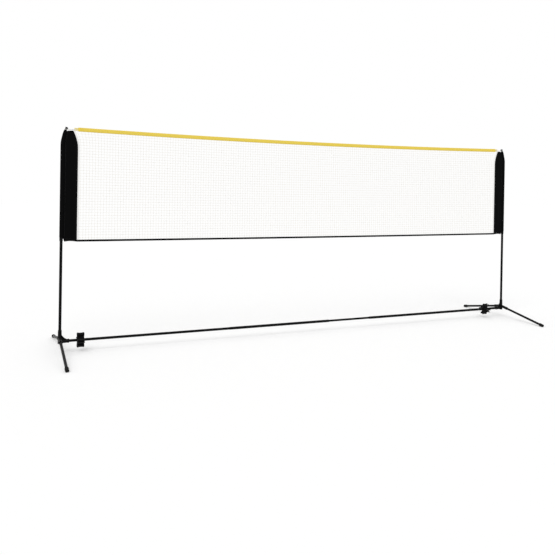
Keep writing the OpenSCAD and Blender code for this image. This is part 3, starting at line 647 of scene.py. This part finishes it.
def sleeveAt(s, v):  # centre of the sleeve, the way to the net and its radius; s is 0 below and 1 at the top
    bend, straight = stand["bendRadius"], stand["bendFrom"] - v["sleeveFrom"]
    along = s * (straight + bend * math.radians(v["archAngle"]))
    lean = max(0.0, along - straight) / bend
    at = Vector((bend * (1 - math.cos(lean)), v["sleeveFrom"] + min(along, straight) + bend * math.sin(lean)))
    narrow = smooth((along - straight - v["neckFrom"]) / v["neck"])
    level = Vector((math.cos(lean), -math.sin(lean)))
    return at, level, v["sleeve"] + (v["archSleeve"] - v["sleeve"]) * narrow

def edgeCurve(v):  # the seam along the net: distance from the pole's axis and height
    points = [Vector((v["wide"], stand["netBottom"])), Vector((v["wide"], stand["taperFrom"]))]
    for k in range(1, v["edgeSteps"] + 1):
        high = k / v["edgeSteps"]
        points.append(Vector((v["wide"] - stand["taper"] * high ** stand["taperPower"],
                              stand["taperFrom"] + stand["taperHigh"] * high)))
    lengths = np.concatenate([[0], np.cumsum([(b - a).length for a, b in zip(points, points[1:])])])
    return lengths / lengths[-1], [p[0] for p in points], [p[1] for p in points]

pocketEdge = edgeCurve(pocketValues)

def edgeAt(s):
    parts, reaches, heights = pocketEdge
    return Vector((np.interp(s, parts, reaches), np.interp(s, parts, heights)))

def clothShift(s, f, z, v):  # soft folds that die out at the pole and at the seam
    free = math.sin(math.pi * min(max(f, 0.0), 1.0)) ** 0.8 * smooth(s * 12) * smooth((1 - s) * 9)
    long = ripple(f * 2.6 + 0.4 * s, z * 1.3, 0.0, v["seed"])
    slant = ripple(f * 3.3 + z * 5.0, z * 2.2 - f * 1.5, 2.0, v["seed"] + 1)
    return v["folds"] * free * (1.1 * long + 0.8 * slant)

def pocketPoint(s, f, face, v):
    # f runs from 0 where the panel leaves the sleeve to 1 at the seam; face is -1 at the front layer
    at, level, _ = sleeveAt(s, v)
    end = edgeAt(s)
    # towards the top the panel leaves the sleeve straight for the peak
    square = 1 - smooth((s - v["straightAbove"]) / (1 - v["straightAbove"]))
    ahead = (level * square + (end - at).normalized()).normalized()
    first = at + ahead * v["panelFrom"]
    p = curved(first, first + ahead * v["drawn"] * (end - first).length, end, f)
    if s < v["foot"]:  # below the sleeve's end the panel runs on down to the tape
        drop = (1 - s / v["foot"]) ** 2
        base = (sleeveAt(0, v)[0] + Vector((v["panelFrom"], 0))) * (1 - f) + edgeAt(0) * f
        down = drop * (stand["netBottom"] - base[1] + v["footLift"] * (1 - f))
        p = p + Vector((0, down * smooth((p[0] - v["footFrom"]) / v["footOver"])))
    away = (1 - f) * (v["wide"] - v["panelFrom"])
    seam = smooth(away / v["seamWidth"])
    ends = smooth(s * 60) * smooth((1 - s) * 50)
    half = v["edge"] + (v["panel"] - v["edge"]) * seam * ends
    full = 0.6 + 0.6 * ripple(f * 4, p[1] * 5, 7.0, v["seed"] + 2)
    half += v["puff"] * seam * ends * math.sin(math.pi * f) * full
    near = math.exp(-(away / v["puckerWidth"]) ** 1.5)
    turn = 2 * math.pi * p[1] / v["puckerPitch"] + 2 * ripple(0, p[1] * 9, 0, v["seed"])
    wave = v["pucker"] * near * math.sin(turn)
    return p[0], face * half + clothShift(s, f, p[1], v) + wave * seam, p[1]

def pocketLayer(s, face, v):  # from the seam over the panel and the throat to the sleeve
    at, level, radius = sleeveAt(s, v)
    mouth = math.radians(v["mouth"])
    count = v["panelPoints"]
    line = [pocketPoint(s, 1 - (k / count) ** 1.15, face, v) for k in range(count)]
    reach, y, z = pocketPoint(s, 0.0, face, v)
    last, meets = Vector((reach, z)), at + level * radius * math.cos(mouth)
    middle = at + level * v["throat"] + (last - at - level * v["panelFrom"]) * 0.5
    for t in (0.0, 0.25, 0.5, 0.75):
        p = curved(last, middle, meets, t)
        line.append((p[0], curved(y, y, face * radius * math.sin(mouth), t), p[1]))
    return line

def pocketRow(s, v):  # once round: front layer, sleeve, back layer and the bound edge
    at, level, radius = sleeveAt(s, v)
    mouth, steps = math.radians(v["mouth"]), v["ringSteps"]
    loose = max(1.0, 1 + v["loose"] * ripple(0.4, s * 9, 0, v["seed"] + 3))
    ring = []
    for k in range(steps + 1):
        turn = -mouth - (2 * math.pi - 2 * mouth) * k / steps
        crease = max(0, ripple(math.cos(turn) * 2, s * 30, math.sin(turn) * 2, v["seed"] + 4))
        r = radius * (1 + v["creased"] * crease) * (loose if 2 < k < steps - 2 else 1.0)
        p = at + level * r * math.cos(turn)
        ring.append((p[0], r * math.sin(turn), p[1]))
    front, back = pocketLayer(s, -1, v), pocketLayer(s, 1, v)[::-1]
    nose = edgeAt(s)
    return front + ring + back + [(nose[0] + v["bound"], (front[0][1] + back[-1][1]) / 2, nose[1])]

def makePocket(side, v):
    rows = [[atSide(side, *p) for p in pocketRow(k / (v["rows"] - 1), v)] for k in range(v["rows"])]
    piece = faceOut(skin(named("sidePocket", side), rows, finish["pocketCloth"], ringUv(rows)))
    thick = piece.modifiers.new("cloth", "SOLIDIFY")
    thick.thickness, thick.offset, thick.use_even_offset = v["cloth"], -1, False
    return settled(piece)

def pocketLine(side, face, places, raised, v):  # points just above the cloth; places are pairs of s and f
    points = [pocketPoint(s, f, face, v) for s, f in places]
    return [atSide(side, reach, y + face * raised, z) for reach, y, z in points], face

def pocketSeams(side, v):
    # the double row along the net with the one across the foot, and the row that closes the sleeve
    last = v["rows"] - 1
    foot = [(v["footSeam"], 0.06 + 0.9 * k / 39) for k in range(40)]
    paths = []
    for face in (-1, 1):
        for back in v["seamRows"]:
            f = 1 - back / (v["wide"] - v["panelFrom"])
            paths.append(pocketLine(side, face, [(k / last, f) for k in range(2, last - 1)], v["raised"], v))
        paths.append(pocketLine(side, face, foot, v["raised"], v))
    seam = stitched(named("pocketSeam", side), paths, "threadBlack", **v["seamStitch"])
    places = [(k / last, 0.0) for k in range(5, last - 2)]
    paths = [pocketLine(side, face, places, v["sleeveRaised"], v) for face in (-1, 1)]
    sleeve = stitched(named("sleeveSeam", side), paths, "threadGrey", **v["sleeveStitch"])
    return [dress(piece, "cloth_black") for piece in (seam, sleeve)]

# White strips folded over the net's side edges, their backs under the pockets' seams
hemValues = {"profile": [(-0.0012, -0.0004), (0.0004, -0.00075), (0.003, -0.0009), (0.007, -0.0009),
                         (0.0095, -0.0008), (0.0108, -0.0005), (0.0113, 0.0)],
             "points": 150, "from": 0.004, "run": 0.990, "seamFrom": 0.006, "seamRun": 0.986, "seam": 0.0085,
             "seamHigh": 0.0009, "wave": 0.0006, "waveFrom": 0.002, "uneven": 0.0003, "unevenFrom": 0.005,
             "stitch": {"pitch": 0.0042, "length": 0.003, "radius": 0.00025, "rise": 0.0002, "seed": 21}}

def hemAt(s):  # a point of the net's side edge and the way from it into the net
    ahead = edgeAt(s + 0.004) - edgeAt(s - 0.003)
    return edgeAt(s), Vector((ahead[1], -ahead[0])).normalized()

def hemWave(u, s, v):
    return v["wave"] * ripple(u * 90, s * 22, 1.0, 9)

def makeHem(side, v):
    profile = v["profile"] + [(u, -y) for u, y in v["profile"][-2::-1]]
    last = v["points"] - 1
    rows, line = [], []
    for k in range(v["points"]):
        s = v["from"] + v["run"] * k / last
        p, across = hemAt(s)
        row = []
        for u, y in profile:
            q = p + across * (u + v["uneven"] * ripple(0, s * 40, 0, 8) * (u > v["unevenFrom"]))
            row.append(atSide(side, q[0], y + hemWave(u, s, v) * (u > v["waveFrom"]), q[1]))
        rows.append(row)
        s = v["seamFrom"] + v["seamRun"] * k / last
        p, across = hemAt(s)
        q = p + across * v["seam"]
        line.append((q, hemWave(v["seam"], s, v)))
    piece = faceOut(skin(named("netHem", side), rows, finish["hem"], ringUv(rows), ends=True))
    paths = [([atSide(side, q[0], face * v["seamHigh"] + y, q[1]) for q, y in line], face)
             for face in (-1, 1)]
    sewing = stitched(piece.name + "Stitches", paths, "threadWhite", **v["stitch"])
    return dress(piece, "webbing_white"), dress(sewing, "webbing_white")

for side, word in ((-1, "left"), (1, "right")):
    pocket = dress(makePocket(side, pocketValues), "cloth_black", "side_pocket_" + word)
    seams = pocketSeams(side, pocketValues)
    hem, hemSewing = makeHem(side, hemValues)
print("side pockets sewn")


# End tabs with their eyelets, and elastic loops with their crimps. Of each profile of (radius, along) and
# of the tab's section from its hole to its rim the upper half is given
tabValues = {"from": 0.077, "to": 0.129, "low": 1.5561, "high": 1.5751, "thick": 0.0016, "corner": 0.003,
             "hole": 0.084, "holeRadius": 0.0032, "level": 1.56243, "step": 0.0012, "bow": 0.0005,
             "sewn": 0.02}
tabSection = [(0, 0.6), (0.02, 1), (0.2, 1), (0.45, 1), (0.7, 1), (0.9, 0.97), (0.985, 0.8), (1, 0.4)]
eyeletValues = {"count": 40, "profile": [
    (0.0031, 0.0007), (0.0050, 0.0007), (0.0049, 0.0009), (0.0044, 0.00118), (0.0036, 0.0013),
    (0.0029, 0.00128), (0.0026, 0.0010)]}
loopValues = {"cord": 0.0015, "sides": 12, "steps": 20, "poleGap": 0.0003, "tabGap": 0.0006, "strands": 0.02}
crimpValues = {"at": 0.066, "count": 24, "profile": [
    (0.0014, 0.0042), (0.0019, 0.0045), (0.0023, 0.0041), (0.0024, 0.0030), (0.0021, 0.0008)]}

def mirrored(half):  # a closed profile from its upper half
    return [(r, -h) for r, h in half] + half[::-1]

def cornerAt(u, z, radius, degrees):
    angle = math.radians(degrees)
    return Vector((u + radius * math.cos(angle), z + radius * math.sin(angle)))

def roundedOutline(v):
    r = v["corner"]
    corners = [(v["to"] - r, v["low"] + r, -90), (v["to"] - r, v["high"] - r, 0),
               (v["from"] + r, v["high"] - r, 90), (v["from"] + r, v["low"] + r, 180)]
    points = []
    for k, (u, z, turn) in enumerate(corners):
        points += [cornerAt(u, z, r, turn + a) for a in range(0, 91, 15)]
        u, z, turn = corners[(k + 1) % 4]
        last, target = points[-1], cornerAt(u, z, r, turn)
        count = int((target - last).length / v["step"])
        points += [last.lerp(target, n / count) for n in range(1, count)]
    return points

def makeTab(side, v):
    hole = Vector((v["hole"], v["level"]))
    section = mirrored(tabSection)
    rows, uv = [], []
    for p in roundedOutline(v):
        start = hole + (p - hole).normalized() * v["holeRadius"]
        row, marks = [], []
        for t, w in section:
            q = start.lerp(p, t)
            free = smooth((pocketValues["wide"] - q[0]) / v["sewn"])  # flat where it is sewn into the band
            bow = v["bow"] * ripple(q[0] * 60, q[1] * 60, 0, 15 + side) * free
            row.append(atSide(side, q[0], w * v["thick"] / 2 + bow, q[1]))
            marks.append(tuple(q))
        rows.append(row)
        uv.append(marks + [marks[0]])
    return joined(named("bandTab", side), rows, finish["webbing"], uv)

def turnedRing(name, v, centre, axis):  # a metal ring from a profile turned round an axis
    axis = Vector(axis).normalized()
    first = axis.orthogonal().normalized()
    second = axis.cross(first)
    profile = mirrored(v["profile"])
    rows, marks = [], []
    for k in range(v["count"]):
        a = 2 * math.pi * k / v["count"]
        out = first * math.cos(a) + second * math.sin(a)
        rows.append([tuple(Vector(centre) + out * r + axis * h) for r, h in profile])
        marks.append([(0.01 * a, h) for r, h in profile + profile[:1]])
    return joined(name, rows, finish["metal"], marks)

def arcOf(centre, radius, a, b, count):
    angles = [a + (b - a) * k / count for k in range(count + 1)]
    return [(centre + radius * math.cos(t), radius * math.sin(t)) for t in angles]

def loopRoute(tab, v):  # once round the pole and through the eyelet, the way the frame has it
    lean = math.asin((tab["level"] - stand["bendFrom"]) / stand["bendRadius"])
    post = stand["bendRadius"] * (1 - math.cos(lean))
    postR = stand["poleRadius"] / math.cos(lean) + v["poleGap"] + v["cord"]
    hookR = tab["thick"] / 2 + v["tabGap"] + v["cord"]
    hook = tab["hole"] - hookR
    opening = math.asin((postR - hookR) / (hook - post))
    quarter = math.pi / 2
    roundPole = arcOf(post, postR, quarter - opening, 3 * quarter + opening, 36)
    roundTab = arcOf(hook, hookR, opening - quarter, quarter - opening, 16)
    return (roundPole[:-1] + stepsTo(roundPole[-1], roundTab[0], v["steps"]) +
            roundTab[:-1] + stepsTo(roundTab[-1], roundPole[0], v["steps"]))

def makeLoop(side, tab, v):
    line, sides = loopRoute(tab, v), v["sides"]
    rows, uv, length = [], [], 0.0
    for k, (u, y) in enumerate(line):
        before, after = line[k - 1], line[(k + 1) % len(line)]
        along = Vector((after[0] - before[0], after[1] - before[1])).normalized()
        across = Vector((along[1], -along[0]))
        r = v["cord"] * (1 - v["strands"] * abs(math.sin(k * 1.7)))
        rows.append([atSide(side, u + across[0] * r * math.cos(a), y + across[1] * r * math.cos(a),
                            tab["level"] + r * math.sin(a)) for a in np.arange(sides) * 2 * math.pi / sides])
        uv.append([(v["cord"] * 2 * math.pi * n / sides, length) for n in range(sides + 1)])
        length += math.hypot(after[0] - u, after[1] - y)
    return joined(named("bandLoop", side), rows, finish["elastic"], uv)

def makeCrimp(side, tab, v):  # the metal clamp that joins the elastic's ends, on its front strand
    front = [p for p in loopRoute(tab, loopValues) if p[1] < 0 and p[0] > v["at"] / 2]
    before = max(p for p in front if p[0] <= v["at"])
    after = min(p for p in front if p[0] > v["at"])
    t = (v["at"] - before[0]) / (after[0] - before[0])
    centre = atSide(side, v["at"], before[1] + (after[1] - before[1]) * t, tab["level"])
    axis = (-side * (after[0] - before[0]), after[1] - before[1], 0)
    return turnedRing(named("loopCrimp", side), v, centre, axis)

for side, word in ((-1, "left"), (1, "right")):
    tab = dress(makeTab(side, tabValues), "webbing_white", "band_tab_" + word)
    hole = atSide(side, tabValues["hole"], 0, tabValues["level"])
    eyelet = dress(turnedRing(named("tabEyelet", side), eyeletValues, hole, (0, 1, 0)), "webbing_white")
    dress(makeLoop(side, tabValues, loopValues), "elastic_white", "band_loop_" + word)
    dress(makeCrimp(side, tabValues, crimpValues), "elastic_white")
print("tabs and loops made")


# Moulded parts are merged copies of the frame's meshes with rounded edges: rounding and material of each.
# A name stands for all nodes that start with it
mouldedParts = {"hub": (0.0009, "nylon"), "foot_cap": (0.0008, "rubber"), "lock_collar": (0.0004, "nylon"),
                "tip_cap": (0.0005, "nylon"), "tube_clip": (0.0007, "nylon")}
# Tubes and hidden plugs keep the frame's meshes
plainParts = {"foot_front": "steel", "foot_rear": "steel", "lower_pole": "steel", "upper_pole": "steel",
              "crossbar": "steel", "guide_plug": "nylon", "link_bush": "nylon"}
edgeValues = {"merge": 1e-6, "flat": 0.5, "roundAbove": 35, "segments": 2, "sharpAbove": 38}

def softened(node, width, key, v):
    source = nodes[node]
    edit = bmesh.new()
    edit.from_mesh(source.data)
    edit.transform(source.matrix_world)
    bmesh.ops.remove_doubles(edit, verts=edit.verts, dist=v["merge"])
    bmesh.ops.dissolve_limit(edit, angle_limit=math.radians(v["flat"]), verts=edit.verts, edges=edit.edges)
    mesh = bpy.data.meshes.new(node + "Soft")
    edit.to_mesh(mesh)
    edit.free()
    mesh.shade_smooth()
    piece = addObject(node + "_soft", mesh, finish[key])
    edges = piece.modifiers.new("edges", "BEVEL")
    edges.width, edges.segments, edges.limit_method = width, v["segments"], "ANGLE"
    edges.angle_limit = math.radians(v["roundAbove"])
    edges.use_clamp_overlap, edges.harden_normals = True, False
    settled(piece).data.set_sharp_from_angle(angle=math.radians(v["sharpAbove"]))
    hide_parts(node)
    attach(piece, body_of(nodes[node])[0])

def paintNode(node, key):
    mesh = nodes[node].data
    mesh.materials.clear()
    mesh.materials.append(finish[key])

def nodesOf(parts):
    return [(node, parts[part]) for part in parts for node in nodes if node.startswith(part)]

for node, (width, key) in nodesOf(mouldedParts):
    softened(node, width, key, edgeValues)
for node, key in nodesOf(plainParts):
    paintNode(node, key)
print("frame parts finished")


# Floor, light and backdrop; reach in metres, the sun's angle in degrees
stageValues = {"reach": 40.0, "floor": 0.80, "sky": 0.70, "sun": 1.26, "sunAngle": 40.0,
               "sunFrom": (-3.0, -4.2, 6.0)}

def seenDirectly(tree):  # 1 for rays from the camera and in a shine or through glass, 0 for other light
    ray = put(tree, "ShaderNodeLightPath").outputs
    seen = calc(tree, "MAXIMUM", ray["Is Camera Ray"], ray["Is Glossy Ray"])
    return calc(tree, "MAXIMUM", seen, ray["Is Transmission Ray"])

def makeFloor(v):
    reach, white = v["reach"], (v["floor"], v["floor"], v["floor"], 1)
    mesh = bpy.data.meshes.new("floor")
    mesh.from_pydata([(-reach, -reach, 0), (reach, -reach, 0), (reach, reach, 0), (-reach, reach, 0)], [],
                     [(0, 1, 2, 3)])
    paper = bpy.data.materials.new("paperWhite")
    tree = emptied(paper)
    matte = put(tree, "ShaderNodeBsdfDiffuse", {"Color": white})
    # the glow lifts the lit floor to plain white and leaves its shadows
    glow = put(tree, "ShaderNodeEmission", {"Strength": times(tree, seenDirectly(tree), 1 - v["floor"])})
    put(tree, "ShaderNodeOutputMaterial", {0: put(tree, "ShaderNodeAddShader", {0: matte, 1: glow})})
    addObject("floor", mesh, paper)

def makeLight(v):
    scene.world = bpy.data.worlds.new("studio")
    tree = emptied(scene.world)
    backdrop = put(tree, "ShaderNodeBackground", {
        "Color": (1, 1, 1, 1), "Strength": calc(tree, "MAXIMUM", seenDirectly(tree), v["sky"])})
    put(tree, "ShaderNodeOutputWorld", {0: backdrop})
    light = bpy.data.lights.new("key", "SUN")
    light.energy, light.angle = v["sun"], math.radians(v["sunAngle"])
    placed("key", light).rotation_euler = Vector(v["sunFrom"]).to_track_quat("Z", "Y").to_euler()

makeFloor(stageValues)
makeLight(stageValues)
scene.view_settings.view_transform = "Standard"
print("stage set")
